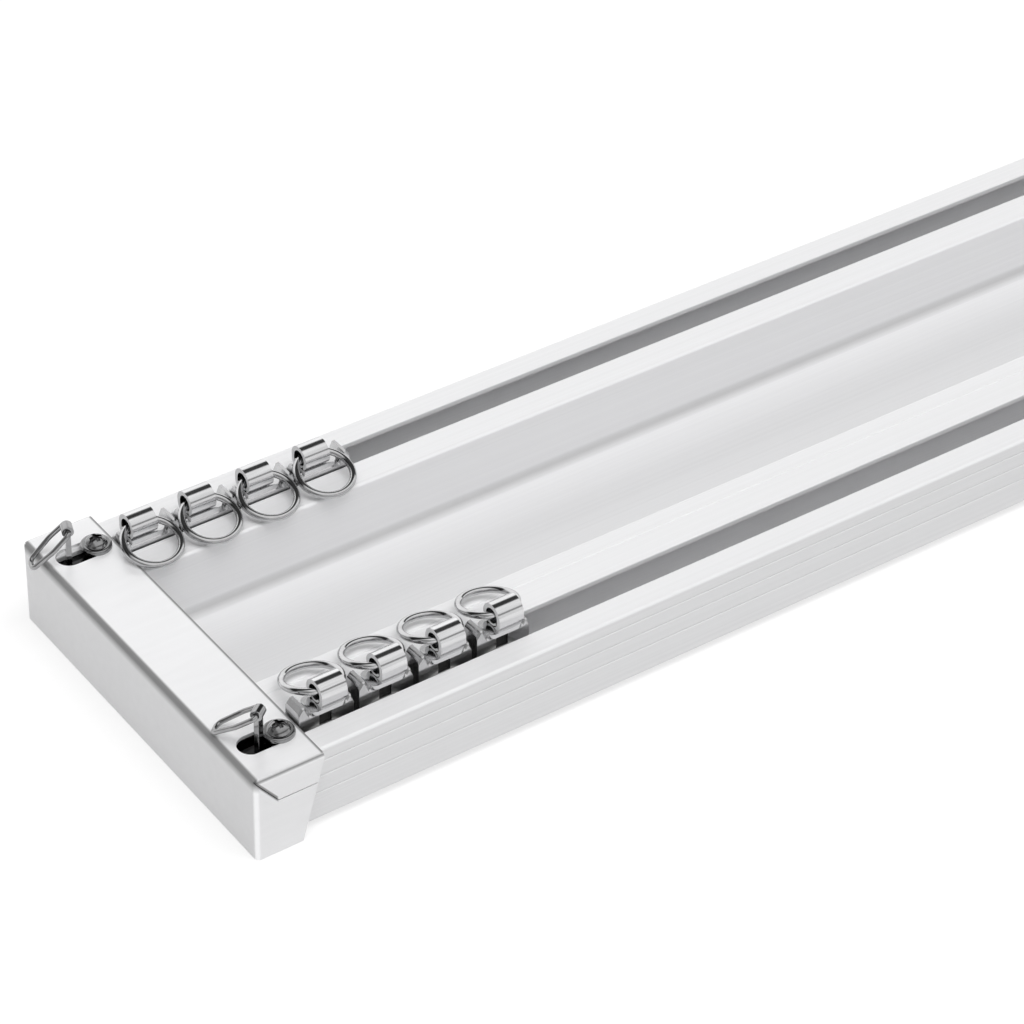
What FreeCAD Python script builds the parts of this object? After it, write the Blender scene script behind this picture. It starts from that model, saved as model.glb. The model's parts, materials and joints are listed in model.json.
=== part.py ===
import FreeCAD, Part
import math
import os

# Double curtain track, lying on its back with both slots up. X runs along the track, Y across it
# with the front channel at -Y, and Z is up. The origin is under the middle of the track, on the
# surface that the end caps stand on. Sizes are in millimetres and angles in degrees.

os.makedirs("parts", exist_ok=True)
Vec = FreeCAD.Vector
X_AXIS = Vec(1, 0, 0)
Y_AXIS = Vec(0, 1, 0)
Z_AXIS = Vec(0, 0, 1)
ORIGIN = Vec(0, 0, 0)
CUT_MARGIN = 1.0

# Extruded aluminium profile
track_length = 600.0
profile_width = 95.0
profile_height = 19.7
profile_wall = 1.5
channel_width = 21.8
slot_inset = 10.3
slot_width = 7.3
chamber_width = 5.0
rim_radius = 0.8
lip_radius = 0.3
foot_radius = 0.5
inner_radius = 0.4
web_fillet = 2.0
side_groove_depths = (3.6, 7.7, 12.2)
groove_width = 0.5
groove_depth = 0.25

# End cap, folded from one sheet
cap_sheet = 0.9
cap_bend = 1.2
cap_depth = 17.6
cap_side_gap = 1.6
cap_drop = 1.8
cap_end_gap = 0.3
flap_foot = 11.9
tab_drop = 7.3
tab_run = 5.8
fold_slit = 0.3
hole_width = 6.5
hole_start = 2.8
fastener_inset = 8.7

# Cap screw and the nut under the lips
screw_at = 13.0
screw_diameter = 3.0
screw_reach = 9.0
flange_diameter = 7.4
flange_height = 1.1
dome_diameter = 5.4
head_height = 3.0
recess_width = 0.9
recess_span = 3.0
recess_depth = 1.3
thread_play = 0.05
nut_length = 8.0
nut_width = 12.0
nut_height = 4.0

# Hook post with its foot and eye, and the wire loop in the eye
front_hook_at = 8.0
back_hook_at = 5.8
hook_foot_start = 3.4
hook_foot_end = 17.0
hook_strip = 1.2
hook_width = 2.8
hook_foot_play = 0.3
eye_height = 8.2
eye_wall = 0.7
loop_wire = 1.2
loop_play = 0.1
loop_length = 12.4
loop_bar = 4.8
loop_belly = 5.8
loop_belly_at = 5.5
loop_tip = 3.4
loop_bar_bend = 0.9
loop_belly_bend = 6.0
loop_tip_bend = 1.5
loop_rest_gap = 0.3
front_hook_heading = 127.0
back_hook_heading = 159.0
back_hook_drop = 46.0

# Runner: block in the slot, rolled eye on its saddle, ring, axle and wheels
runners_per_row = 4
first_runner_gap = 0.3
runner_play = 0.7
neck_width = 5.5
block_length = 14.2
saddle_height = 2.1
long_ridge_height = 5.0
short_ridge_height = 3.2
ridge_end_drop = 1.2
long_ridge_start = 0.9
long_ridge_end = 1.7
long_ridge_foot = 2.9
short_ridge_start = 0.6
short_ridge_end = 1.2
short_ridge_foot = 1.7
top_chamfer = 0.45
window_start = 5.2
window_length = 3.2
window_bridge = 0.3
window_wall = 1.5
axle_diameter = 2.5
axle_press = 0.02
axle_eye = 2.6
axle_head_diameter = 4.0
axle_head = 0.5
wheel_gap = 0.4
wheel_width = 3.4
wheel_play = 0.05
wheel_chamfer = 0.5
wheel_recess = 0.6
wheel_rim = 1.6
wheel_hub = 1.6
eye_sheet = 1.1
eye_radius = 3.2
eye_length = 6.6
eye_end_gap = 0.2
eye_rise = 3.5
eye_bend = 2.6
eye_offset = 0.6
eye_curl = -30.0
leaf_front = 3.4
leaf_back = 2.6
leaf_length = 9.2
leaf_corner = 1.6
rivet_diameter = 1.8
rivet_depth = 2.8
rivet_play = 0.02
rivet_from_end = 3.6
ring_wire = 1.7
ring_radius = 6.7
ring_lead = 0.5
ring_space = 0.4
front_ring_drop = 14.0
front_ring_slant = 4.0
back_ring_drop = 16.0
back_ring_slant = 0.0

# Levels and lines that follow from the sizes above
cap_width = profile_width + 2 * (cap_side_gap + cap_sheet)
cap_height = cap_drop + profile_height + cap_sheet
track_back = cap_drop
lip_top = track_back + profile_height
lip_under = lip_top - profile_wall
floor_top = track_back + profile_wall
side_face = profile_width / 2
channel_face = side_face - channel_width
slot_line = side_face - slot_inset
fastener_line = side_face - fastener_inset
runner_line = (channel_face + side_face) / 2
slot_inner = slot_line - slot_width / 2
slot_outer = slot_line + slot_width / 2
chamber_face = channel_face - chamber_width
cap_face = -track_length / 2
wheel_diameter = lip_under - floor_top - runner_play - 2 * wheel_gap
axle_level = -profile_wall - wheel_gap - wheel_diameter / 2
eye_level = saddle_height + eye_rise
eye_middle = block_length / 2 - short_ridge_foot - eye_end_gap - eye_length / 2
ring_width = 2 * ring_radius + ring_wire
runner_pitch = max(ring_width, wheel_diameter, block_length) + ring_space
hook_eye_level = cap_height + eye_height
hook_eye_bore = loop_wire / 2 + loop_play
front_hook_rise = eye_height - loop_wire / 2 - loop_rest_gap
front_hook_drop = math.degrees(math.asin(front_hook_rise / loop_length))


def rounded_wire(corners):
    """Closed wire through (point, radius) corners, each corner with a radius rounded by an arc."""
    edges = []
    start = None
    last = None
    count = len(corners)
    for index in range(count):
        point, radius = corners[index]
        before = (corners[index - 1][0] - point).normalize()
        after = (corners[(index + 1) % count][0] - point).normalize()
        enter = point
        leave = point
        if radius > 0:
            half_angle = before.getAngle(after) / 2
            enter = point + before * (radius / math.tan(half_angle))
            leave = point + after * (radius / math.tan(half_angle))
        if last is not None:
            edges.append(Part.LineSegment(last, enter).toShape())
        if radius > 0:
            middle = point + (before + after).normalize() * (radius / math.sin(half_angle) - radius)
            edges.append(Part.Arc(enter, middle, leave).toShape())
        if start is None:
            start = enter
        last = leave
    edges.append(Part.LineSegment(last, start).toShape())
    return Part.Wire(edges)


def tube(path, wire_diameter, start, heading):
    """Round wire bent along a closed path."""
    profile = Part.Wire([Part.makeCircle(wire_diameter / 2, start, heading)])
    return path.makePipeShell([profile], True, True)


def cylinder(diameter, height, base, direction):
    return Part.makeCylinder(diameter / 2, height, base, direction)


def prism(corners, along):
    """Solid swept from a closed outline of (point, radius) corners."""
    return Part.Face(rounded_wire(corners)).extrude(along)


def turned(shape, axis, angle, centre=ORIGIN):
    copy = shape.copy()
    copy.rotate(centre, axis, angle)
    return copy


def moved(shape, offset):
    copy = shape.copy()
    copy.translate(offset)
    return copy


# Track profile: one outline walked round the section, with the chamber as a hole in it
def notch(y, z, inward_y, inward_z):
    """Three corners of a fine V groove, walked with the metal on the left."""
    half = groove_width / 2
    walk_y = inward_z * half
    walk_z = -inward_y * half
    return [
        (Vec(0, y - walk_y, z - walk_z), 0),
        (Vec(0, y + inward_y * groove_depth, z + inward_z * groove_depth), 0),
        (Vec(0, y + walk_y, z + walk_z), 0),
    ]


def channel_outline(side):
    """Corners of one channel: outer lip, round the inside, inner lip."""
    return [
        (Vec(0, side * slot_outer, lip_top), lip_radius),
        (Vec(0, side * slot_outer, lip_under), lip_radius),
        (Vec(0, side * (side_face - profile_wall), lip_under), inner_radius),
        (Vec(0, side * (side_face - profile_wall), floor_top), inner_radius),
        (Vec(0, side * (channel_face + profile_wall), floor_top), inner_radius),
        (Vec(0, side * (channel_face + profile_wall), lip_under), inner_radius),
        (Vec(0, side * slot_inner, lip_under), lip_radius),
        (Vec(0, side * slot_inner, lip_top), lip_radius),
    ]


def track_profile():
    outline = [(Vec(0, -side_face, track_back), foot_radius), (Vec(0, side_face, track_back), foot_radius)]
    for depth in reversed(side_groove_depths):
        outline += notch(side_face, lip_top - depth, -1, 0)
    outline.append((Vec(0, side_face, lip_top), rim_radius))
    outline += channel_outline(1)
    outline += [
        (Vec(0, channel_face, lip_top), rim_radius),
        (Vec(0, channel_face, floor_top), web_fillet),
        (Vec(0, -chamber_face, floor_top), web_fillet),
        (Vec(0, -chamber_face, lip_top), rim_radius),
    ]
    outline += notch(-channel_face, lip_top, 0, -1)
    outline += reversed(channel_outline(-1))
    outline.append((Vec(0, -side_face, lip_top), rim_radius))
    for depth in side_groove_depths:
        outline += notch(-side_face, lip_top - depth, 1, 0)
    chamber = [
        (Vec(0, -channel_face, floor_top), inner_radius),
        (Vec(0, -chamber_face - profile_wall, floor_top), inner_radius),
        (Vec(0, -chamber_face - profile_wall, lip_under), inner_radius),
        (Vec(0, -channel_face, lip_under), inner_radius),
    ]
    section = Part.Face(rounded_wire(outline)).cut(Part.Face(rounded_wire(chamber))).Faces[0]
    half_length = track_length / 2 - cap_sheet - cap_end_gap
    return moved(section.extrude(X_AXIS * (2 * half_length)), X_AXIS * -half_length)


# End cap at the -X end: a box-shaped shell, open below and towards the track, then slit and trimmed
def folded_box(inset):
    """Outside or inside form of the cap, with its three folds rounded."""
    low = Vec(cap_face + inset, inset - cap_width / 2, -CUT_MARGIN if inset else 0)
    length = cap_depth - inset + (CUT_MARGIN if inset else 0)
    block = Part.makeBox(length, cap_width - 2 * inset, cap_height - inset - low.z, low)
    folds = []
    for edge in block.Edges:
        middle = edge.CenterOfMass
        on_end = abs(middle.x - low.x) < 0.001
        on_top = abs(middle.z - cap_height + inset) < 0.001
        on_side = abs(abs(middle.y) - cap_width / 2 + inset) < 0.001
        if on_end + on_top + on_side == 2:
            folds.append(edge)
    return block.makeFillet(cap_bend - inset, folds)


def fold_cuts(side):
    """Slit between side tab and side flap, and the slanted free edge of both, on one side."""
    skin = side * (cap_width / 2 - cap_bend)
    depth = Y_AXIS * (side * (cap_bend + CUT_MARGIN))
    tab_level = cap_height - tab_drop
    corner = Vec(cap_face, skin, cap_height)
    knee = Vec(cap_face + tab_run, skin, tab_level)
    far = Vec(cap_face + cap_depth + CUT_MARGIN, skin, tab_level)
    down = Vec(0, 0, -fold_slit)
    upper = [corner, knee, far]
    lower = [point + down for point in reversed(upper)]
    slit = prism([(point, 0) for point in upper + lower], depth)
    free_edge = prism([
        (Vec(cap_face + cap_depth, skin, cap_height - cap_sheet), 0),
        (Vec(cap_face + flap_foot, skin, 0), 0),
        (Vec(cap_face + flap_foot, skin, -CUT_MARGIN), 0),
        (Vec(far.x, skin, -CUT_MARGIN), 0),
        (Vec(far.x, skin, cap_height - cap_sheet), 0),
    ], depth)
    return [slit, free_edge]


def fastener_hole(side):
    """Oblong hole over the slot, for the hook post and the cap screw."""
    radius = hole_width / 2
    first = Vec(cap_face + hole_start + radius, side * fastener_line, lip_top)
    last = Vec(cap_face + screw_at, side * fastener_line, lip_top)
    height = cap_sheet + CUT_MARGIN
    middle = Part.makeBox(last.x - first.x, hole_width, height, first - Y_AXIS * radius)
    ends = [cylinder(hole_width, height, place, Z_AXIS) for place in (first, last)]
    return middle.fuse(ends)


def end_cap():
    shell = folded_box(0).cut(folded_box(cap_sheet))
    for side in (-1, 1):
        for cutter in fold_cuts(side) + [fastener_hole(side)]:
            shell = shell.cut(cutter)
    return shell


# Cap screw and clamp nut
def cap_screw(side):
    seat = Vec(cap_face + screw_at, side * fastener_line, cap_height)
    head_top = seat + Z_AXIS * head_height
    dome_rise = head_height - flange_height
    dome_radius = ((dome_diameter / 2) ** 2 + dome_rise ** 2) / (2 * dome_rise)
    dome = Part.makeSphere(dome_radius, head_top - Z_AXIS * dome_radius)
    dome = dome.common(cylinder(dome_diameter, head_height, seat, Z_AXIS))
    flange = cylinder(flange_diameter, flange_height, seat, Z_AXIS)
    flange = flange.makeFillet(flange_height / 2, [flange.Edges[0]])
    shank_length = cap_sheet + profile_wall + screw_reach
    shank = cylinder(screw_diameter, shank_length, seat, -Z_AXIS)
    screw = flange.fuse([dome, shank]).removeSplitter()
    for angle in (0, 90):
        bar = Part.makeBox(recess_span, recess_width, recess_depth + CUT_MARGIN,
                           head_top - Vec(recess_span / 2, recess_width / 2, recess_depth))
        screw = screw.cut(turned(bar, Z_AXIS, angle, seat))
    return screw


def clamp_nut(side):
    top = lip_under - hook_strip
    middle = Vec(cap_face + screw_at, side * slot_line, top)
    low = middle - Vec(nut_length / 2, nut_width / 2, nut_height)
    block = Part.makeBox(nut_length, nut_width, nut_height, low)
    bore = cylinder(screw_diameter + 2 * thread_play, nut_height + 2 * CUT_MARGIN,
                    Vec(middle.x, side * fastener_line, top + CUT_MARGIN), -Z_AXIS)
    return block.cut(bore)


# Hook post: foot under the lips, upright strip turned to its heading, and the eye rolled at its top
def hook_post(side, along, heading):
    base = Vec(cap_face + along, side * fastener_line, lip_under)
    low = Vec(cap_face + hook_foot_start, side * slot_line - nut_width / 2, lip_under - hook_strip)
    foot = Part.makeBox(hook_foot_end - hook_foot_start, nut_width, hook_strip, low)
    hole = cylinder(screw_diameter + 2 * hook_foot_play, hook_strip + 2 * CUT_MARGIN,
                    Vec(cap_face + screw_at, base.y, lip_under + CUT_MARGIN), -Z_AXIS)
    eye_diameter = 2 * (hook_eye_bore + eye_wall)
    eye_centre = Vec(base.x, base.y, hook_eye_level)
    upright_height = hook_eye_level - lip_under + hook_strip
    upright = Part.makeBox(hook_strip, hook_width, upright_height,
                           base - Vec(hook_strip / 2, hook_width / 2, hook_strip))
    eye_start = eye_centre - Y_AXIS * (hook_width / 2)
    eye = cylinder(eye_diameter, hook_width, eye_start, Y_AXIS)
    bore = cylinder(2 * hook_eye_bore, hook_width + 2 * CUT_MARGIN, eye_start - Y_AXIS * CUT_MARGIN, Y_AXIS)
    stem = turned(upright.fuse(eye).cut(bore), Z_AXIS, heading, eye_centre)
    return foot.cut(hole).fuse(stem)


def hook_loop(side, along, heading, drop):
    """Long wire loop: a bar through the eye, two bowed legs and a rounded tip that hangs low."""
    corners = [
        (Vec(0, -loop_bar / 2, 0), loop_bar_bend),
        (Vec(0, loop_bar / 2, 0), loop_bar_bend),
        (Vec(loop_belly_at, loop_belly / 2, 0), loop_belly_bend),
        (Vec(loop_length, loop_tip / 2, 0), loop_tip_bend),
        (Vec(loop_length, -loop_tip / 2, 0), loop_tip_bend),
        (Vec(loop_belly_at, -loop_belly / 2, 0), loop_belly_bend),
    ]
    path = rounded_wire(corners)
    bar_start = path.Edges[1].Vertexes[0].Point
    loop = tube(path, loop_wire, bar_start, Y_AXIS)
    loop = turned(turned(loop, Y_AXIS, drop), Z_AXIS, heading)
    return moved(loop, Vec(cap_face + along, side * fastener_line, hook_eye_level))


# Runner, modelled with its block's middle over the origin and the top of the lips at Z = 0
def runner_body():
    half = block_length / 2
    bottom = axle_level - axle_eye
    outline = [
        (-half, bottom), (half, bottom), (half, short_ridge_height - ridge_end_drop),
        (half - short_ridge_start, short_ridge_height), (half - short_ridge_end, short_ridge_height),
        (half - short_ridge_foot, saddle_height), (long_ridge_foot - half, saddle_height),
        (long_ridge_end - half, long_ridge_height), (long_ridge_start - half, long_ridge_height),
        (-half, long_ridge_height - ridge_end_drop),
    ]
    corners = [(Vec(x, -neck_width / 2, z), 0) for x, z in outline]
    body = prism(corners, Y_AXIS * neck_width)
    rims = []
    for edge in body.Edges:
        middle = edge.CenterOfMass
        on_flank = abs(abs(middle.y) - neck_width / 2) < 0.001
        if on_flank and middle.z > saddle_height - 0.001:
            rims.append(edge)
    body = body.makeChamfer(top_chamfer, rims)
    window_floor = -profile_wall
    window_height = saddle_height - window_bridge - window_floor
    window_depth = neck_width - window_wall + CUT_MARGIN
    window = Part.makeBox(window_length, window_depth, window_height,
                          Vec(window_start - half, -neck_width / 2 - CUT_MARGIN, window_floor))
    rivet = cylinder(rivet_diameter + 2 * rivet_play, rivet_depth + CUT_MARGIN,
                     Vec(half - rivet_from_end, 0, saddle_height - rivet_depth), Z_AXIS)
    bore = cylinder(axle_diameter + 2 * axle_press, neck_width + 2 * CUT_MARGIN,
                    Vec(0, -neck_width / 2 - CUT_MARGIN, axle_level), Y_AXIS)
    for cutter in (window, rivet, bore):
        body = body.cut(cutter)
    return body


def runner_eye():
    """Sheet rolled into a knuckle: flat leaf, front bend, outer turn and a smaller inner turn."""
    start = eye_middle - eye_length / 2
    outer = eye_radius
    inner = eye_radius - eye_sheet
    turn_outer = outer - eye_offset
    turn_inner = inner - eye_offset
    under = -eye_rise
    over = under + eye_sheet

    def at(y, z):
        return Vec(start, y, eye_level + z)

    def curl(radius, angle):
        return at(eye_offset + radius * math.cos(angle), -radius * math.sin(angle))

    full_curl = math.radians(90 + eye_curl)
    half_curl = full_curl / 2
    bend = eye_bend * (1 - math.sqrt(0.5))
    bend_inner = eye_bend - (eye_bend - eye_sheet) * math.sqrt(0.5)
    edges = [
        Part.LineSegment(at(leaf_back, under), at(eye_bend - outer, under)),
        Part.Arc(at(eye_bend - outer, under), at(bend - outer, under + bend), at(-outer, under + eye_bend)),
        Part.LineSegment(at(-outer, under + eye_bend), at(-outer, 0)),
        Part.Arc(at(-outer, 0), at(0, outer), at(outer, 0)),
        Part.Arc(at(outer, 0), curl(turn_outer, half_curl), curl(turn_outer, full_curl)),
        Part.LineSegment(curl(turn_outer, full_curl), curl(turn_inner, full_curl)),
        Part.Arc(curl(turn_inner, full_curl), curl(turn_inner, half_curl), at(inner, 0)),
        Part.Arc(at(inner, 0), at(0, inner), at(-inner, 0)),
        Part.LineSegment(at(-inner, 0), at(-inner, under + eye_bend)),
        Part.Arc(at(-inner, under + eye_bend), at(bend_inner - outer, under + bend_inner),
                 at(eye_bend - outer, over)),
        Part.LineSegment(at(eye_bend - outer, over), at(leaf_back, over)),
        Part.LineSegment(at(leaf_back, over), at(leaf_back, under)),
    ]
    roll = Part.Face(Part.Wire([edge.toShape() for edge in edges])).extrude(X_AXIS * eye_length)
    leaf_end = block_length / 2 - short_ridge_foot - eye_end_gap
    leaf = prism([
        (Vec(leaf_end - leaf_length, -leaf_front, saddle_height), leaf_corner),
        (Vec(leaf_end, -leaf_front, saddle_height), leaf_corner),
        (Vec(leaf_end, leaf_back, saddle_height), leaf_corner),
        (Vec(leaf_end - leaf_length, leaf_back, saddle_height), leaf_corner),
    ], Z_AXIS * eye_sheet)
    rivet_head = Vec(block_length / 2 - rivet_from_end, 0, saddle_height)
    rivet = cylinder(rivet_diameter, rivet_depth, rivet_head, -Z_AXIS)
    return roll.fuse([leaf, rivet])


def runner_ring(drop, slant):
    """Round ring through the knuckle, hanging by drop and leaning sideways by slant."""
    centre = Vec(0, ring_radius - ring_lead, 0)
    ring = moved(Part.makeTorus(ring_radius, ring_wire / 2), centre)
    ring = turned(turned(ring, X_AXIS, -drop), Y_AXIS, slant)
    return moved(ring, Vec(eye_middle, 0, eye_level))


def runner_axle():
    half = neck_width / 2 + wheel_gap + wheel_width + wheel_gap
    axle = cylinder(axle_diameter, 2 * half, Vec(0, -half, axle_level), Y_AXIS)
    for side in (-1, 1):
        end = Vec(0, side * half, axle_level)
        axle = axle.fuse(cylinder(axle_head_diameter, axle_head, end, Y_AXIS * side))
    return axle


def runner_wheels():
    """Two wheels on the axle, each dished on its outer face between rim and hub."""
    radius = wheel_diameter / 2
    bore = axle_diameter / 2 + wheel_play
    hub = bore + wheel_hub
    rim = radius - wheel_rim
    near = neck_width / 2 + wheel_gap
    far = near + wheel_width
    section = [
        (bore, near), (radius - wheel_chamfer, near), (radius, near + wheel_chamfer),
        (radius, far - wheel_chamfer), (radius - wheel_chamfer, far), (rim, far), (rim, far - wheel_recess),
        (hub, far - wheel_recess), (hub, far), (bore, far),
    ]
    face = Part.Face(Part.makePolygon([Vec(r, y, axle_level) for r, y in section + section[:1]]))
    wheel = face.revolve(Vec(0, 0, axle_level), Y_AXIS, 360)
    return Part.makeCompound([wheel, turned(wheel, Z_AXIS, 180)])


def runner_row(name, side, sink, drop, slant):
    """Front runners are drawn up to the lips, back ones rest on the channel floor, turned end for end."""
    shapes = {
        "body": runner_body(),
        "eye": runner_eye(),
        "ring": runner_ring(drop, slant),
        "axle": runner_axle(),
        "wheels": runner_wheels(),
    }
    first = cap_face + cap_depth + first_runner_gap + block_length / 2
    for number in range(runners_per_row):
        place = Vec(first + number * runner_pitch, side * runner_line, lip_top - sink)
        for piece, shape in shapes.items():
            facing = turned(shape, Z_AXIS, 90 + 90 * side)
            nodes[f"runner_{name}_{number + 1}_{piece}"] = moved(facing, place)


nodes = {"track_profile": track_profile()}

# Both ends carry the same set, the far one turned half round
near_end = {
    "end_cap": end_cap(),
    "cap_screws": Part.makeCompound([cap_screw(side) for side in (-1, 1)]),
    "clamp_nuts": Part.makeCompound([clamp_nut(side) for side in (-1, 1)]),
    "hook_post_a": hook_post(-1, front_hook_at, front_hook_heading),
    "hook_loop_a": hook_loop(-1, front_hook_at, front_hook_heading, front_hook_drop),
    "hook_post_b": hook_post(1, back_hook_at, back_hook_heading),
    "hook_loop_b": hook_loop(1, back_hook_at, back_hook_heading, back_hook_drop),
}
for piece, shape in near_end.items():
    nodes[f"near_{piece}"] = shape
    nodes[f"far_{piece}"] = turned(shape, Z_AXIS, 180)

runner_row("front", -1, 0, front_ring_drop, front_ring_slant)
runner_row("back", 1, runner_play, back_ring_drop, back_ring_slant)

for node, shape in nodes.items():
    shape.exportStep(f"parts/{node}.step")
    print(node, len(shape.Solids), "solids", round(shape.Volume, 2), "mm3, valid:", shape.isValid())
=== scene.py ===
# %% [markdown]
# Double curtain track, dressed for a studio picture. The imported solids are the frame: the
# extruded profile, the folded end caps and the running gear keep their places, and this
# script gives them their metals, works the fine edges, and sets light and camera.

# %% Load the frame
import json
import math

import bpy
from mathutils import Matrix, Vector


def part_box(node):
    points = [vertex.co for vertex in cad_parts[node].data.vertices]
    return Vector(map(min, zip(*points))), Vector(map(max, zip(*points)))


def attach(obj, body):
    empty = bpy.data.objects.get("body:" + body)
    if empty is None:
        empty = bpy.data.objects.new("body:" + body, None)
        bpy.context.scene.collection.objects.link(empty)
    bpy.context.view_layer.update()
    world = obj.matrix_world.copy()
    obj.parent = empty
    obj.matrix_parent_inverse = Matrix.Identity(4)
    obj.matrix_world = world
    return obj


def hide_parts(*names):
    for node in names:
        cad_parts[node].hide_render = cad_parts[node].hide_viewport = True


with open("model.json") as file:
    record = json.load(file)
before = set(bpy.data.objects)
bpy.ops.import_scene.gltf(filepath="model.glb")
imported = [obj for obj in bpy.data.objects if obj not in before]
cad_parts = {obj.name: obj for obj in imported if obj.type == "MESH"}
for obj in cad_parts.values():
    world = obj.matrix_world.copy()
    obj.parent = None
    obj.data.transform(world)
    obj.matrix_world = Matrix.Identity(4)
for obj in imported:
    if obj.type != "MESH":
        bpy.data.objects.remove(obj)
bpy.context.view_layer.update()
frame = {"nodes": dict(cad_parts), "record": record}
nodes = frame["nodes"]
record = frame["record"]
slot_of = {part["node"]: part["material_slot"] for part in record["subparts"]}
body_of = {node: body for body, held in record["behaviour"]["bodies"].items() for node in held}
lip_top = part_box("track_profile")[1][2]
MM = 0.001

# %% [markdown]
# A shader is a tree of small nodes. Built by hand it is a lot of clicking, so four helpers do
# the clicks: one adds a node with its constant values, one draws a link, one starts an empty
# group, which is a tree that several materials can share, and one gives a neutral colour.

# %% Shader helpers
def add(tree, kind, **values):
    """A node of that kind; values are socket names with _ for a space, or node properties."""
    made = tree.nodes.new("ShaderNode" + kind)
    for key, value in values.items():
        name = key.replace("_", " ")
        if name in made.inputs:
            made.inputs[name].default_value = value
        else:
            setattr(made, key, value)
    return made


def join(source, output, target, into):
    """A link from one node's output to another node's input, in the tree that holds both."""
    source.id_data.links.new(source.outputs[output], target.inputs[into])


def new_group(name, inputs, outputs):
    """An empty shader group with float inputs and outputs, and its two end nodes."""
    tree = bpy.data.node_groups.new(name, "ShaderNodeTree")
    for label, start in inputs:
        socket = tree.interface.new_socket(label, in_out="INPUT", socket_type="NodeSocketFloat")
        socket.default_value = start
    for label in outputs:
        tree.interface.new_socket(label, in_out="OUTPUT", socket_type="NodeSocketFloat")
    return tree, tree.nodes.new("NodeGroupInput"), tree.nodes.new("NodeGroupOutput")


def grey(level):
    """A neutral colour."""
    return (level, level, level, 1.0)


print("helpers", [helper.__name__ for helper in (add, join, new_group, grey)])

# %% [markdown]
# Drawing a profile through its die, or brushing a sheet, leaves fine lines. A photograph of
# brushed metal could be laid on, but a noise that is stretched along X does it at any size.

# %% Drawn lines
lines_group, lines_in, lines_out = new_group(
    "Drawn lines", [("Along", 6.0), ("Across", 900.0)], ["Lines"])
place = add(lines_group, "TexCoord")
stretch = add(lines_group, "CombineXYZ")
grain = add(lines_group, "VectorMath", operation="MULTIPLY")
noise = add(lines_group, "TexNoise", Scale=1.0, Detail=4.0, Roughness=0.65)
join(lines_in, "Along", stretch, "X")
join(lines_in, "Across", stretch, "Y")
join(lines_in, "Across", stretch, "Z")
join(place, "Object", grain, 0)
join(stretch, "Vector", grain, 1)
join(grain, "Vector", noise, "Vector")
join(noise, "Fac", lines_out, "Lines")
print("group", lines_group.name, "with", len(lines_group.nodes), "nodes")

# %% [markdown]
# Handling leaves a faint, broad haze on metal. Inside the channels, below the lips, a second
# group paints shade: it turns depth below the lips into a mask that darkens whatever stands
# there. As groups, both can be given to every metal with its own strength.

# %% Haze and painted channel shade
SHADE_FULL_DEPTH = 1.5 * MM
haze_group, haze_in, haze_out = new_group("Handling haze", [("Size", 60.0)], ["Haze"])
place = add(haze_group, "TexCoord")
noise = add(haze_group, "TexNoise", Detail=3.0, Roughness=0.5)
spread = add(haze_group, "MapRange", From_Min=0.35, From_Max=0.7)
join(haze_in, "Size", noise, "Scale")
join(place, "Object", noise, "Vector")
join(noise, "Fac", spread, "Value")
join(spread, "Result", haze_out, "Haze")

# Painted shade: a mask that grows to full strength 1.5 mm below the lips.
channel_shade_group, channel_shade_in, channel_shade_out = new_group("Channel shade", [("Amount", 0.9)], ["Shade"])
place = add(channel_shade_group, "TexCoord")
height = add(channel_shade_group, "SeparateXYZ")
depth = add(channel_shade_group, "MapRange", From_Min=lip_top, From_Max=lip_top - SHADE_FULL_DEPTH)
scaled = add(channel_shade_group, "Math", operation="MULTIPLY")
join(place, "Object", height, "Vector")
join(height, "Z", depth, "Value")
join(depth, "Result", scaled, 0)
join(channel_shade_in, "Amount", scaled, 1)
join(scaled, "Value", channel_shade_out, "Shade")
print("groups", [group.name for group in bpy.data.node_groups])

# %% [markdown]
# One recipe covers every metal. The drawn lines tint the colour a little and raise a very fine
# relief; lines and haze together break up the roughness; painted shade darkens what stands in a channel.
# Anodised metal is only partly a mirror, so its metallic value is lower than that of chrome.

# %% Metals
COOL_TINT = 1.01
TONE_FROM, TONE_TO = 0.3, 0.7
RELIEF_DEPTH = 0.1 * MM
# Near-black grey that the painted shade in the channels darkens the colour towards.
CHANNEL_SHADE_GREY = grey(0.03)


def metal(name, dark, light, metallic, rough,
          rough_spread=0.06, relief=0.02, along=500.0, across=500.0, shade_below_lips=0.0):
    """A metal between a dark and a light grey, with its grain per metre along and across X."""
    material = bpy.data.materials.new(name)
    material.use_nodes = True
    tree = material.node_tree
    skin = tree.nodes["Principled BSDF"]
    skin.inputs["Metallic"].default_value = metallic
    lines = add(tree, "Group", node_tree=lines_group, Along=along, Across=across)
    haze = add(tree, "Group", node_tree=haze_group)
    channel_mask = add(tree, "Group", node_tree=channel_shade_group, Amount=shade_below_lips)
    tone = add(tree, "ValToRGB")
    for element, position, level in zip(tone.color_ramp.elements, (TONE_FROM, TONE_TO), (dark, light)):
        element.position = position
        element.color = (level, level, level * COOL_TINT, 1.0)
    # Painted shade: below the lips the colour is mixed towards a near-black grey.
    channel_shaded = add(tree, "MixRGB", Color2=CHANNEL_SHADE_GREY)
    patches = add(tree, "Math", operation="MULTIPLY")
    dull = add(tree, "MapRange", To_Min=rough, To_Max=rough + rough_spread)
    bump = add(tree, "Bump", Strength=relief, Distance=RELIEF_DEPTH)
    join(lines, "Lines", tone, "Fac")
    join(channel_mask, "Shade", channel_shaded, "Fac")
    join(tone, "Color", channel_shaded, "Color1")
    join(channel_shaded, "Color", skin, "Base Color")
    join(lines, "Lines", patches, 0)
    join(haze, "Haze", patches, 1)
    join(patches, "Value", dull, "Value")
    join(dull, "Result", skin, "Roughness")
    join(lines, "Lines", bump, "Height")
    join(bump, "Normal", skin, "Normal")
    return material


# The last value of some entries sets how much painted shade a metal takes below the lips.
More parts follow.
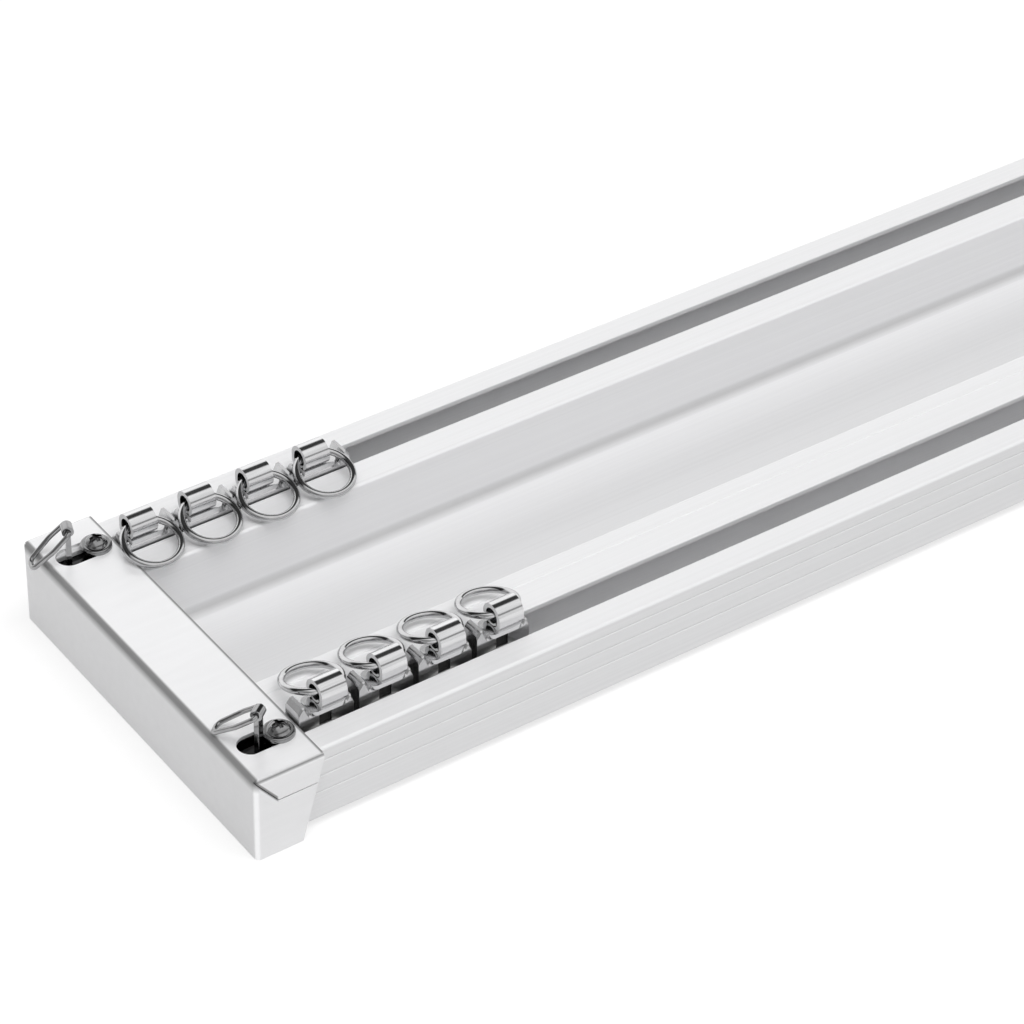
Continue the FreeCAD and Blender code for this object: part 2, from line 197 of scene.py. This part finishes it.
looks = {
    "profile": metal("satin_profile", 0.81, 0.85, 0.22, 0.44, relief=0.08, along=4.0, across=1500.0),
    "end_cap": metal("satin_cap", 0.87, 0.90, 0.30, 0.34, along=40.0, across=400.0),
    "screw": metal("plated_screw", 0.22, 0.32, 1.0, 0.10, rough_spread=0.10),
    "nut": metal("plain_nut", 0.30, 0.42, 1.0, 0.35,
                 rough_spread=0.2, relief=0.2, along=300.0, across=900.0, shade_below_lips=0.9),
    "hook": metal("chromed_hook", 0.30, 0.38, 1.0, 0.07, along=400.0, across=400.0, shade_below_lips=0.95),
    "runner_block": metal("chromed_block", 0.50, 0.58, 0.95, 0.13, shade_below_lips=0.1),
    "knuckle": metal("chromed_knuckle", 0.60, 0.72, 1.0, 0.12, relief=0.03, along=60.0, across=900.0),
    "ring_wire": metal("chromed_ring", 0.50, 0.58, 1.0, 0.12, rough_spread=0.05, along=400.0, across=400.0),
    "axle": metal("plain_axle", 0.40, 0.50, 1.0, 0.25,
                  rough_spread=0.2, relief=0.1, along=800.0, across=100.0, shade_below_lips=0.6),
}
print("metals", sorted(looks))

# %% [markdown]
# Two places get painted shade: the folds of the cap and the hollows of the profile. One
# function lays a dark grey over a metal's colour by a mask, as a second coat of paint would.

# %% A coat of painted shade
SHADE_COAT = grey(0.08)


def greyed(material, group, mask):
    """Lays a dark grey of painted shade over the material's colour where the group's mask says so."""
    tree = material.node_tree
    skin = tree.nodes["Principled BSDF"]
    plain = skin.inputs["Base Color"].links[0].from_socket
    where = add(tree, "Group", node_tree=group)
    layer = add(tree, "MixRGB", Color2=SHADE_COAT)
    tree.links.new(plain, layer.inputs["Color1"])
    join(where, mask, layer, "Fac")
    join(layer, "Color", skin, "Base Color")
    return where


print("painted shade grey", SHADE_COAT[0])

# %% [markdown]
# The cap gets painted shade along its folds, a painted shadow line along its inner edge and
# painted shade beside the slit at the tab. The upright fold at the corner gets a higher metallic
# value, so that it shows a highlight. Painting these on an image would need a map of the surface. Here each
# is a band, a product of two ramps on the distance from the cap's middle planes, so that both caps and both
# sides get it.

# %% Bands on the cap
TAB_RUN, TAB_DROP = 5.8 * MM, 7.3 * MM
SLIT_SLOPE = TAB_DROP / TAB_RUN
cap_low, cap_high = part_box("near_end_cap")
cap_end, cap_side, cap_top, cap_edge = -cap_low[0], -cap_low[1], cap_high[2], -cap_high[0]
knee = cap_end - TAB_RUN
fold_bands = {
    "to end wall": (("X", cap_end - 1.4 * MM, cap_end - 0.8 * MM),
                    ("Z", cap_top - 3.2 * MM, cap_top - 0.9 * MM)),
    "to side flap": (("Y", cap_side - 0.9 * MM, cap_side - 0.4 * MM),
                     ("Z", cap_top - 0.9 * MM, cap_top - 0.4 * MM)),
    "sheared edge": (("X", cap_edge + 0.7 * MM, cap_edge + 0.3 * MM),
                     ("Z", cap_top - 0.3 * MM, cap_top - 0.1 * MM)),
    "open slit": (("Slit", 0.9 * MM, 0.5 * MM),
                  ("X", knee, knee + 0.4 * MM)),
    "rubbed corner": (("X", cap_end - 1.2 * MM, cap_end - 0.6 * MM),
                      ("Y", cap_side - 1.2 * MM, cap_side - 0.6 * MM)),
}
# Painted shade along the folds, a painted shadow line at the inner edge and beside the slit, and a strip
# for the corner's highlight.
fold_shade_group, fold_shade_in, fold_shade_out = new_group("Fold shade and highlight", [("Amount", 0.76)], ["Fold shade", "Corner highlight"])
place = add(fold_shade_group, "TexCoord")
parts = add(fold_shade_group, "SeparateXYZ")
end_ward = add(fold_shade_group, "Math", operation="ABSOLUTE")
slit_level = add(fold_shade_group, "Math", operation="MULTIPLY_ADD")
slit_level.inputs[1].default_value = SLIT_SLOPE
slit_level.inputs[2].default_value = cap_top - SLIT_SLOPE * cap_end
off_slit = add(fold_shade_group, "Math", operation="SUBTRACT")
join(place, "Object", parts, "Vector")
join(parts, "X", end_ward, 0)
join(end_ward, "Value", slit_level, 0)
join(slit_level, "Value", off_slit, 0)
join(parts, "Z", off_slit, 1)
measured = {"X": (parts, "X"), "Y": (parts, "Y"), "Z": (parts, "Z"), "Slit": (off_slit, "Value")}
bands = {}
for name, ramps in fold_bands.items():
    bands[name] = add(fold_shade_group, "Math", operation="MULTIPLY")
    for number, (axis, start, full) in enumerate(ramps):
        outward = add(fold_shade_group, "Math", operation="ABSOLUTE")
        reach = add(fold_shade_group, "MapRange", From_Min=start, From_Max=full)
        join(*measured[axis], outward, 0)
        join(outward, "Value", reach, "Value")
        join(reach, "Result", bands[name], number)
print("bands on the cap", sorted(bands))

# %% [markdown]
# The dark bands of painted shade are gathered by taking the darkest at each place, and the grey coat goes
# on there.
# The bright corner stands in for the fold's highlight and gets a higher metallic value instead of a colour.

# %% Painted fold shade and corner highlight
HIGHLIGHT_METALLIC = 0.95
darkest = bands["to end wall"]
for name in ("to side flap", "sheared edge", "open slit"):
    either = add(fold_shade_group, "Math", operation="MAXIMUM")
    join(darkest, "Value", either, 0)
    join(bands[name], "Value", either, 1)
    darkest = either
scaled = add(fold_shade_group, "Math", operation="MULTIPLY")
join(darkest, "Value", scaled, 0)
join(fold_shade_in, "Amount", scaled, 1)
join(scaled, "Value", fold_shade_out, "Fold shade")
join(bands["rubbed corner"], "Value", fold_shade_out, "Corner highlight")

# The grey coat of painted shade goes on the cap's colour, and the corner's highlight raises its metallic
# value.
fold_mask = greyed(looks["end_cap"], fold_shade_group, "Fold shade")
cap_tree = looks["end_cap"].node_tree
cap_skin = cap_tree.nodes["Principled BSDF"]
corner_metallic = add(cap_tree, "MapRange", To_Min=cap_skin.inputs["Metallic"].default_value, To_Max=HIGHLIGHT_METALLIC)
join(fold_mask, "Corner highlight", corner_metallic, "Value")
join(corner_metallic, "Result", cap_skin, "Metallic")
print("group", fold_shade_group.name, "with", len(fold_shade_group.nodes), "nodes")

# %% [markdown]
# The web between the channels meets their walls in a hollow fillet, and painted shade darkens
# it. The mask falls off with distance from the two lines where wall and web meet.
# A weaker painted shade lies on the web itself, low down between the walls.

# %% Painted corner shade
WEB_TOP = 3.3 * MM
WEB_REACH = 27.0 * MM
WEB_SHADE = 0.2
corner_lines = ((0.0, 25.7 * MM, WEB_TOP), (0.0, -20.7 * MM, WEB_TOP))
# Painted shade in the fillets where wall and web meet, and a weaker painted shade on the web.
corner_group, corner_in, corner_out = new_group("Corner shade", [("Amount", 0.4)], ["Shade"])
place = add(corner_group, "TexCoord")
parts = add(corner_group, "SeparateXYZ")
sideward = add(corner_group, "Math", operation="ABSOLUTE")
between = add(corner_group, "MapRange", From_Min=WEB_REACH, From_Max=WEB_REACH - 0.5 * MM)
low_down = add(corner_group, "MapRange",
               From_Min=WEB_TOP + 2.2 * MM, From_Max=WEB_TOP + 0.8 * MM, To_Max=WEB_SHADE)
corner_shade = add(corner_group, "Math", operation="MULTIPLY")
section = add(corner_group, "VectorMath", operation="MULTIPLY")
section.inputs[1].default_value = (0.0, 1.0, 1.0)
join(place, "Object", parts, "Vector")
join(parts, "Y", sideward, 0)
join(sideward, "Value", between, "Value")
join(parts, "Z", low_down, "Value")
join(between, "Result", corner_shade, 0)
join(low_down, "Result", corner_shade, 1)
join(place, "Object", section, 0)
for corner in corner_lines:
    away = add(corner_group, "VectorMath", operation="DISTANCE")
    away.inputs[1].default_value = corner
    near = add(corner_group, "MapRange", From_Min=2.8 * MM, From_Max=0.9 * MM)
    either = add(corner_group, "Math", operation="MAXIMUM")
    join(section, "Vector", away, 0)
    join(away, "Value", near, "Value")
    join(corner_shade, "Value", either, 0)
    join(near, "Result", either, 1)
    corner_shade = either
scaled = add(corner_group, "Math", operation="MULTIPLY")
join(corner_shade, "Value", scaled, 0)
join(corner_in, "Amount", scaled, 1)
join(scaled, "Value", corner_out, "Shade")
greyed(looks["profile"], corner_group, "Shade")
print("painted corner shade along", len(corner_lines), "lines")

# %% [markdown]
# Two plastics: the wheels are pale and slightly glossy, and the core that shows in the window of
# each runner block is nearly black, as painted shade. Both get a fine eggshell relief that a small
# noise gives. With that, every solid can be given its finish by the slot it is recorded under.

# %% Plastics
WARM_TINT = 0.98
EGGSHELL_SIZE = 900.0
EGGSHELL_RELIEF = 0.1


def plastic(name, dark, light, rough):
    """A moulded plastic between a dark and a light grey."""
    material = bpy.data.materials.new(name)
    material.use_nodes = True
    tree = material.node_tree
    skin = tree.nodes["Principled BSDF"]
    skin.inputs["Roughness"].default_value = rough
    haze = add(tree, "Group", node_tree=haze_group, Size=EGGSHELL_SIZE)
    tone = add(tree, "ValToRGB")
    for element, level in zip(tone.color_ramp.elements, (dark, light)):
        element.color = (level, level, level * WARM_TINT, 1.0)
    bump = add(tree, "Bump", Strength=EGGSHELL_RELIEF, Distance=RELIEF_DEPTH)
    join(haze, "Haze", tone, "Fac")
    join(haze, "Haze", bump, "Height")
    join(tone, "Color", skin, "Base Color")
    join(bump, "Normal", skin, "Normal")
    return material


looks["wheel"] = plastic("moulded_wheel", 0.74, 0.84, 0.42)
# A near-black plastic for the window cores: painted shade.
shade_core_plastic = plastic("painted_shade_core", 0.012, 0.022, 0.5)
for name, piece in nodes.items():
    piece.data.materials.clear()
    piece.data.materials.append(looks[slot_of[name]])
print("materials", sorted(material.name for material in bpy.data.materials))

# %% [markdown]
# Sheet and bar never have knife edges: shearing, folding and tumbling leave a small radius, and
# that radius catches the light. A shader can fake it, but only a real bevel shows in the outline.
# The solids have sharp edges there, so a copy of the solid's mesh is merged, cleaned of needless
# edges and bevelled by a modifier, and then stands for the solid.

# %% Rounding tools
BEVEL_OVER = math.radians(32)
SMOOTH_UNDER = math.radians(35)
FLAT_UNDER = math.radians(0.5)
MERGE_UNDER = 0.002 * MM
AREA_WEIGHT = 100


def round_edges(piece, width):
    """Bevels the sharp edges of a piece and smooths its shading, with the broad faces kept flat."""
    rounding = piece.modifiers.new("edges", "BEVEL")
    rounding.width = width
    rounding.segments = 2
    rounding.limit_method = "ANGLE"
    rounding.angle_limit = BEVEL_OVER
    bpy.ops.object.modifier_apply(modifier=rounding.name)
    bpy.ops.object.shade_smooth_by_angle(angle=SMOOTH_UNDER)
    flats = piece.modifiers.new("flats", "WEIGHTED_NORMAL")
    flats.keep_sharp = True
    flats.weight = AREA_WEIGHT
    bpy.ops.object.modifier_apply(modifier=flats.name)


def worked(node, width):
    """A copy of a solid with its sharp edges rounded, riding and finished as the solid."""
    piece = bpy.data.objects.new(node + "_worked", nodes[node].data.copy())
    bpy.context.scene.collection.objects.link(piece)
    bpy.ops.object.select_all(action="DESELECT")
    piece.select_set(True)
    bpy.context.view_layer.objects.active = piece
    bpy.ops.object.mode_set(mode="EDIT")
    bpy.ops.mesh.select_all(action="SELECT")
    bpy.ops.mesh.customdata_custom_splitnormals_clear()
    bpy.ops.mesh.remove_doubles(threshold=MERGE_UNDER)
    bpy.ops.mesh.dissolve_limited(angle_limit=FLAT_UNDER)
    bpy.ops.object.mode_set(mode="OBJECT")
    round_edges(piece, width)
    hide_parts(node)
    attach(piece, body_of[node])
    return piece


print("bevel over", round(math.degrees(BEVEL_OVER)), "degrees")

# %% [markdown]
# The caps, screws, hook posts, runner blocks and knuckles get worked edges, each with a radius that
# suits its making. A knuckle is plated all over and then sheared, so its two ends across X are left
# bare: the faces that look along X get a second material.

# %% Worked edges
edge_widths = {
    "end_cap": 0.1 * MM,
    "cap_screws": 0.1 * MM,
    "hook_post": 0.14 * MM,
    "body": 0.12 * MM,
    "eye": 0.1 * MM,
}
SQUARE_ON = 0.95
cut_edge = metal("sheared_edge", 0.93, 0.97, 0.0, 0.45, rough_spread=0.1, relief=0.05)


def bare_ends(piece, skin):
    """Plated all over, with the sheared ends across X left bare."""
    piece.data.materials.clear()
    piece.data.materials.append(skin)
    piece.data.materials.append(cut_edge)
    for polygon in piece.data.polygons:
        polygon.material_index = int(abs(polygon.normal.x) > SQUARE_ON)


made = []
for node in nodes:
    for kind, width in edge_widths.items():
        if kind in node.split("_", 1)[1]:
            made.append(worked(node, width))
for piece in made:
    if "_eye" in piece.name:
        bare_ends(piece, looks["knuckle"])
print("worked pieces", len(made), "faces", sum(len(piece.data.polygons) for piece in made))

# %% [markdown]
# Two small pieces repeat in every runner. Each is modelled once at the origin and then copied, with
# its own mesh, to its place. The back row's runners are turned end for end, so their copies are too.

# %% Copies for the runners
ROWS = ("front", "back")
RUNNERS_PER_ROW = 4


def placed_copy(pattern, name, place, row):
    """A copy of a pattern with its own mesh, put in its place and turned to suit its row."""
    piece = bpy.data.objects.new(name, pattern.data.copy())
    bpy.context.scene.collection.objects.link(piece)
    half_turn = math.pi if row == "back" else 0.0
    piece.data.transform(Matrix.Translation(place) @ Matrix.Rotation(half_turn, 4, "Z"))
    return piece


runners = [(row, number) for row in ROWS for number in range(1, RUNNERS_PER_ROW + 1)]
print("runners", len(runners))

# %% [markdown]
# Each runner block has a window in one flank, and a near-black core is put in it as painted shade. A black
# face would do from one side only, so the core is a body: a cube is added at the window's size,
# its outer face is inset and pressed in, and the edges are rounded.

# %% Dark cores, painted shade in the windows
WINDOW_START, WINDOW_LENGTH = 5.2 * MM, 3.2 * MM
WINDOW_FLOOR, WINDOW_HEIGHT = -1.5 * MM, 3.3 * MM
CORE_GAP, CORE_SETBACK, CORE_DEPTH = 0.1 * MM, 0.4 * MM, 3.0 * MM
CORE_RIM, CORE_PRESS, CORE_EDGE = 0.4 * MM, 0.3 * MM, 0.08 * MM
RIDGE = 5.0 * MM
bpy.ops.object.select_all(action="DESELECT")
bpy.ops.mesh.primitive_cube_add(size=1.0)
pattern = bpy.context.object
pattern.scale = (WINDOW_LENGTH - 2 * CORE_GAP, CORE_DEPTH, WINDOW_HEIGHT - 2 * CORE_GAP)
bpy.ops.object.transform_apply(location=True, rotation=False, scale=True)
bpy.ops.object.mode_set(mode="EDIT")
bpy.ops.mesh.select_mode(type="FACE")
bpy.ops.mesh.select_all(action="DESELECT")
bpy.ops.object.mode_set(mode="OBJECT")
for polygon in pattern.data.polygons:
    polygon.select = polygon.normal.y < -SQUARE_ON
bpy.ops.object.mode_set(mode="EDIT")
bpy.ops.mesh.inset(thickness=CORE_RIM)
bpy.ops.transform.translate(value=(0.0, CORE_PRESS, 0.0))
bpy.ops.object.mode_set(mode="OBJECT")
round_edges(pattern, CORE_EDGE)
pattern.data.materials.append(shade_core_plastic)
for row, number in runners:
    node = f"runner_{row}_{number}_body"
    low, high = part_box(node)
    start, inward = (low, 1) if row == "front" else (high, -1)
    centre = Vector((
        start[0] + inward * (WINDOW_START + WINDOW_LENGTH / 2),
        start[1] + inward * (CORE_SETBACK + CORE_DEPTH / 2),
        high[2] - RIDGE + WINDOW_FLOOR + WINDOW_HEIGHT / 2,
    ))
    piece = placed_copy(pattern, f"core_{row}_{number}", centre, row)
    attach(piece, body_of[node])
print("core", [round(c / MM, 2) for c in pattern.dimensions], "mm, copied", len(runners), "times")
bpy.data.objects.remove(pattern)

# %% [markdown]
# The knuckle is a scroll: the sheet runs on inside, under the ring, and its thick end shows as a
# pale crescent. A tube could be cut open for it; spinning one edge is shorter. A plane is cut down
# to one edge as long as the knuckle, spun about the ring's axis, given the thickness of the sheet's
# inner end and rounded. Each runner gets its own copy at its ring's hinge.

# %% Inner turns
TURN_LENGTH, TURN_RADIUS, TURN_SHEET, TURN_EDGE = 6.6 * MM, 2.35 * MM, 0.66 * MM, 0.05 * MM
TURN_START, TURN_SWEEP, TURN_STEPS = math.radians(-50), math.radians(100), 16
TURN_MERGE = 0.001 * MM
bpy.ops.object.select_all(action="DESELECT")
bpy.ops.mesh.primitive_plane_add(size=TURN_LENGTH)
turn = bpy.context.object
bpy.ops.object.mode_set(mode="EDIT")
bpy.ops.mesh.select_mode(type="VERT")
bpy.ops.mesh.select_all(action="DESELECT")
bpy.ops.object.mode_set(mode="OBJECT")
for vertex in turn.data.vertices:
    vertex.select = vertex.co.y > 0
bpy.ops.object.mode_set(mode="EDIT")
bpy.ops.mesh.delete(type="VERT")
bpy.ops.mesh.select_all(action="SELECT")
start_y = TURN_RADIUS * math.cos(TURN_START)
start_z = TURN_RADIUS * math.sin(TURN_START)
bpy.ops.transform.translate(value=(0.0, start_y + TURN_LENGTH / 2, start_z))
bpy.ops.mesh.spin(steps=TURN_STEPS, angle=TURN_SWEEP, center=(0.0, 0.0, 0.0), axis=(1.0, 0.0, 0.0))
bpy.ops.mesh.select_all(action="SELECT")
bpy.ops.mesh.remove_doubles(threshold=TURN_MERGE)
bpy.ops.mesh.normals_make_consistent(inside=False)
bpy.ops.object.mode_set(mode="OBJECT")
sheet = turn.modifiers.new("sheet", "SOLIDIFY")
sheet.thickness = TURN_SHEET
sheet.offset = -1.0
bpy.ops.object.modifier_apply(modifier=sheet.name)
round_edges(turn, TURN_EDGE)
hinges = [joint for joint in record["behaviour"]["joints"] if joint["type"] == "hinge"]
hinge_at = {joint["child"]: Vector(joint["pos_m"]) for joint in hinges}
for row, number in runners:
    node = f"runner_{row}_{number}_eye"
    piece = placed_copy(turn, f"inner_turn_{row}_{number}", hinge_at[f"ring_{row}_{number}"], row)
    bare_ends(piece, looks["knuckle"])
    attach(piece, body_of[node])
print("inner turn", [round(c / MM, 2) for c in turn.dimensions], "mm, copied", len(runners), "times")
bpy.data.objects.remove(turn)

# %% [markdown]
# The floor is a broad pale sheet. It takes the soft shadow, and what the camera or the metal
# sees of it is lifted to white, as a lit paper sweep is in a studio.

# %% Floor
FLOOR_SIZE, FLOOR_GAP = 8.0, 0.2 * MM
SHEET_GREY, LIT_GREY, LIT_GLOW, PAPER_ROUGH = 0.40, 0.34, 0.68, 0.9
bpy.ops.object.select_all(action="DESELECT")
bpy.ops.mesh.primitive_plane_add(size=FLOOR_SIZE, location=(0.0, 0.0, -FLOOR_GAP))
floor = bpy.context.object
floor.name = "floor"
paper = bpy.data.materials.new("pale_paper")
paper.use_nodes = True
tree = paper.node_tree
shaded = tree.nodes["Principled BSDF"]
lit = add(tree, "BsdfPrincipled", Emission_Color=grey(1.0), Emission_Strength=LIT_GLOW)
for skin, level in ((shaded, SHEET_GREY), (lit, LIT_GREY)):
    skin.inputs["Base Color"].default_value = grey(level)
    skin.inputs["Roughness"].default_value = PAPER_ROUGH
    skin.inputs["Specular IOR Level"].default_value = 0.0
rays = add(tree, "LightPath")
seen = add(tree, "Math", operation="MAXIMUM")
looked_at = add(tree, "Math", operation="MAXIMUM")
choose = add(tree, "MixShader")
join(rays, "Is Camera Ray", seen, 0)
join(rays, "Is Glossy Ray", seen, 1)
join(seen, "Value", looked_at, 0)
join(rays, "Is Transmission Ray", looked_at, 1)
join(looked_at, "Value", choose, "Fac")
join(shaded, "BSDF", choose, 1)
join(lit, "BSDF", choose, 2)
join(choose, "Shader", tree.nodes["Material Output"], "Surface")
floor.data.materials.append(paper)
print("floor", FLOOR_SIZE, "m wide")

# %% [markdown]
# The light is a white tent with a dark roof. The angle round the track's length decides: the far
# side and the camera's side are bright sheets, and two dark strips, a broad one beyond the top and
# a narrow one low on the camera's side, draw the dark bands on the chrome. A dark flag stands at
# the far left.

# %% Tent
HALF_TURN = 180
TENT = (  # degrees from the far horizon over the top to the near one, and how bright it is there
    (0, 1.1), (14, 1.3), (40, 1.3), (50, 0.05), (84, 0.05), (92, 1.1),
    (141, 1.0), (147, 0.3), (155, 0.3), (161, 1.0), (180, 0.9),
)
FLAG_START, FLAG_END, FLAG_LEVEL = -0.38, -0.62, 0.38
world = bpy.data.worlds.new("tent")
bpy.context.scene.world = world
world.use_nodes = True
tree = world.node_tree
sight = add(tree, "TexCoord")
parts = add(tree, "SeparateXYZ")
around = add(tree, "Math", operation="ARCTAN2")
share = add(tree, "MapRange", From_Max=math.pi)
ramp = add(tree, "ValToRGB")
strips = ramp.color_ramp.elements
strips[0].position, strips[1].position = 0.0, 1.0
for angle, level in TENT[1:-1]:
    strips.new(angle / HALF_TURN)
for strip, (angle, level) in zip(strips, TENT):
    strip.color = grey(level)
flag = add(tree, "MapRange", From_Min=FLAG_END, From_Max=FLAG_START, To_Min=FLAG_LEVEL, To_Max=1.0)
dimmed = add(tree, "VectorMath", operation="SCALE")
join(sight, "Generated", parts, "Vector")
join(parts, "Z", around, 0)
join(parts, "Y", around, 1)
join(around, "Value", share, "Value")
join(share, "Result", ramp, "Fac")
join(parts, "X", flag, "Value")
join(ramp, "Color", dimmed, 0)
join(flag, "Result", dimmed, "Scale")
join(dimmed, "Vector", tree.nodes["Background"], "Color")
print("tent of", len(TENT), "bands")

# %% [markdown]
# One soft lamp overhead models the form. A tent alone would light every side alike. The lamp is
# kept out of reflections, so that flat tops keep their tone from every side.

# %% Lamp
LAMP_PLACE = Vector((-0.2, -0.5, 2.0))
LAMP_AIM = Vector((-0.1, 0.0, 0.0))
LAMP_WIDTH, LAMP_HEIGHT, LAMP_WATTS = 1.9, 1.1, 27.0
soft_box = bpy.data.lights.new("key", "AREA")
soft_box.shape = "RECTANGLE"
soft_box.size = LAMP_WIDTH
soft_box.size_y = LAMP_HEIGHT
soft_box.energy = LAMP_WATTS
key = bpy.data.objects.new("key", soft_box)
bpy.context.scene.collection.objects.link(key)
key.location = LAMP_PLACE
key.rotation_euler = (LAMP_AIM - LAMP_PLACE).to_track_quat("-Z", "Y").to_euler()
key.visible_glossy = False
print("one soft lamp of", LAMP_WATTS, "W")

# %% [markdown]
# The camera stands where the photograph was taken from: in front of the near end, to its
# left, looking down along the track, with the long lens that the perspective calls for. Its
# place and angles were fitted to the long edges, so they are written out and not aimed by eye.

# %% Camera
CAMERA_PLACE = (-0.61532, -0.57300, 0.57182)
AZIMUTH, ELEVATION, ROLL = math.radians(36.064), math.radians(37.946), math.radians(-1.493)
FOCAL_PIXELS, PICTURE_PIXELS, SENSOR_WIDTH = 3853.24, 1024, 36.0
CLIP_START = 0.05
level_reach = math.cos(ELEVATION)
ahead = Vector((math.sin(AZIMUTH) * level_reach, math.cos(AZIMUTH) * level_reach, -math.sin(ELEVATION)))
right = Matrix.Rotation(ROLL, 3, ahead) @ ahead.cross(Vector((0, 0, 1))).normalized()
above = right.cross(ahead)
camera_data = bpy.data.cameras.new("camera")
camera_data.sensor_width = SENSOR_WIDTH
camera_data.lens = FOCAL_PIXELS * SENSOR_WIDTH / PICTURE_PIXELS
camera_data.clip_start = CLIP_START
camera = bpy.data.objects.new("camera", camera_data)
bpy.context.scene.collection.objects.link(camera)
axes = Matrix((right, above, -ahead)).transposed()
camera.matrix_world = Matrix.Translation(CAMERA_PLACE) @ axes.to_4x4()
bpy.context.scene.camera = camera
bpy.context.scene.view_settings.view_transform = "Standard"
print("lens", round(camera_data.lens, 1), "mm")
